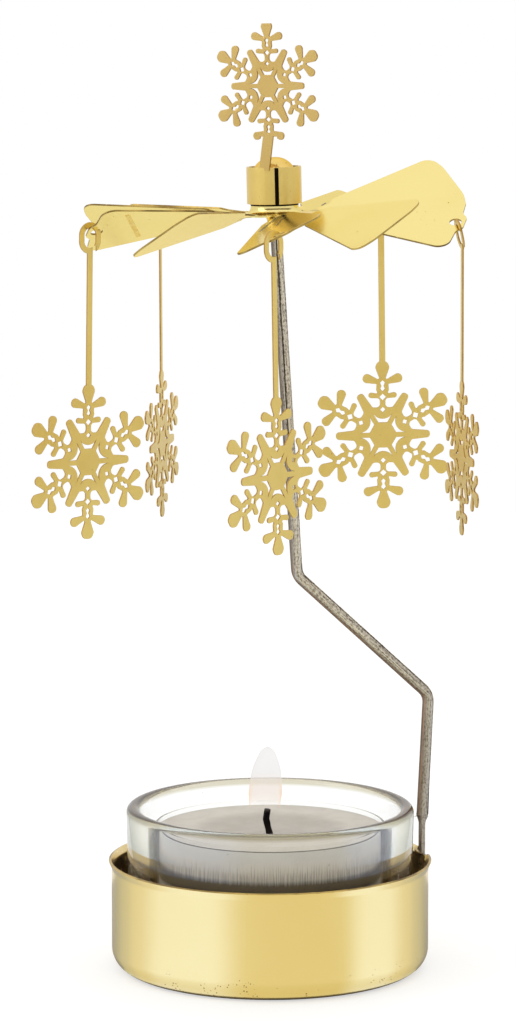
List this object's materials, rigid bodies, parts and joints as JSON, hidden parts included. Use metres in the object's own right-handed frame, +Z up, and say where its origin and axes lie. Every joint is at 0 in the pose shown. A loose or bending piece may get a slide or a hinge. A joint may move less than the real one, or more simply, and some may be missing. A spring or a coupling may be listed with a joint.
{
  "type": "candle carousel",
  "caption": "Brass tealight carousel: a glass candle cup in a round tray, a bent stem beside it and a wheel of pitched blades on its point, with snowflakes hung from it.",
  "frame": {"origin": "middle of the candle cup's flat base", "axes": "+Z up through the wheel, -Y to the front, with the stem at the right"},
  "size_m": [0.0729, 0.0758, 0.1591],
  "materials": {
    "candle_cup": "polished",
    "support_stem": "dull, lightly speckled",
    "glass_cup": "clear",
    "tealight_shell": "clear",
    "wax": "waxy white",
    "wick": "charred",
    "wick_sustainer": "plain",
    "rotor_wheel": "polished",
    "topper": "satin",
    "hanger_front": "satin",
    "hanger_right": "satin",
    "hanger_back_right": "satin",
    "hanger_back_left": "satin",
    "hanger_left": "satin"
  },
  "bodies": {
    "base": {"candle_cup": "candle_cup", "support_stem": "support_stem"},
    "glass": {"glass_cup": "glass_cup"},
    "tealight": {"tealight_shell": "tealight_shell", "wax": "wax", "wick": "wick", "wick_sustainer": "wick_sustainer"},
    "wheel": {"rotor_wheel": "rotor_wheel", "topper": "topper"},
    "hanger_front": {"hanger_front": "hanger_front"},
    "hanger_right": {"hanger_right": "hanger_right"},
    "hanger_back_right": {"hanger_back_right": "hanger_back_right"},
    "hanger_back_left": {"hanger_back_left": "hanger_back_left"},
    "hanger_left": {"hanger_left": "hanger_left"}
  },
  "joints": [
    {"name": "wheel_spin", "type": "hinge", "parent": "base", "child": "wheel", "pos_m": [0.00054, 0.00012, 0.1365], "axis": [-0.0227, 0.0122, 0.9997], "continuous": true},
    {"name": "swing_front", "type": "hinge", "parent": "wheel", "child": "hanger_front", "pos_m": [0.00041, -0.03168, 0.12637], "axis": [-0.6945, -0.7192, -0.0227], "range_deg": [-15, 15]},
    {"name": "swing_right", "type": "hinge", "parent": "wheel", "child": "hanger_right", "pos_m": [0.03057, -0.00975, 0.12662], "axis": [0.1908, -0.9815, 0.0175], "range_deg": [-15, 15]},
    {"name": "swing_back_right", "type": "hinge", "parent": "wheel", "child": "hanger_back_right", "pos_m": [0.01903, 0.02579, 0.126], "axis": [0.9924, 0.1219, 0.014], "range_deg": [-15, 15]},
    {"name": "swing_back_left", "type": "hinge", "parent": "wheel", "child": "hanger_back_left", "pos_m": [-0.01881, 0.02462, 0.12456], "axis": [0.2249, 0.9742, 0.0175], "range_deg": [-15, 15]},
    {"name": "swing_left", "type": "hinge", "parent": "wheel", "child": "hanger_left", "pos_m": [-0.02948, -0.01031, 0.12605], "axis": [0.7879, 0.6156, -0.0175], "range_deg": [-15, 15]},
    {"name": "glass_lift", "type": "slide", "parent": "base", "child": "glass", "axis": [0, 0, 1], "range_m": [0, 0.018]},
    {"name": "tealight_lift", "type": "slide", "parent": "glass", "child": "tealight", "axis": [0, 0, 1], "range_m": [0, 0.008]}
  ]
}
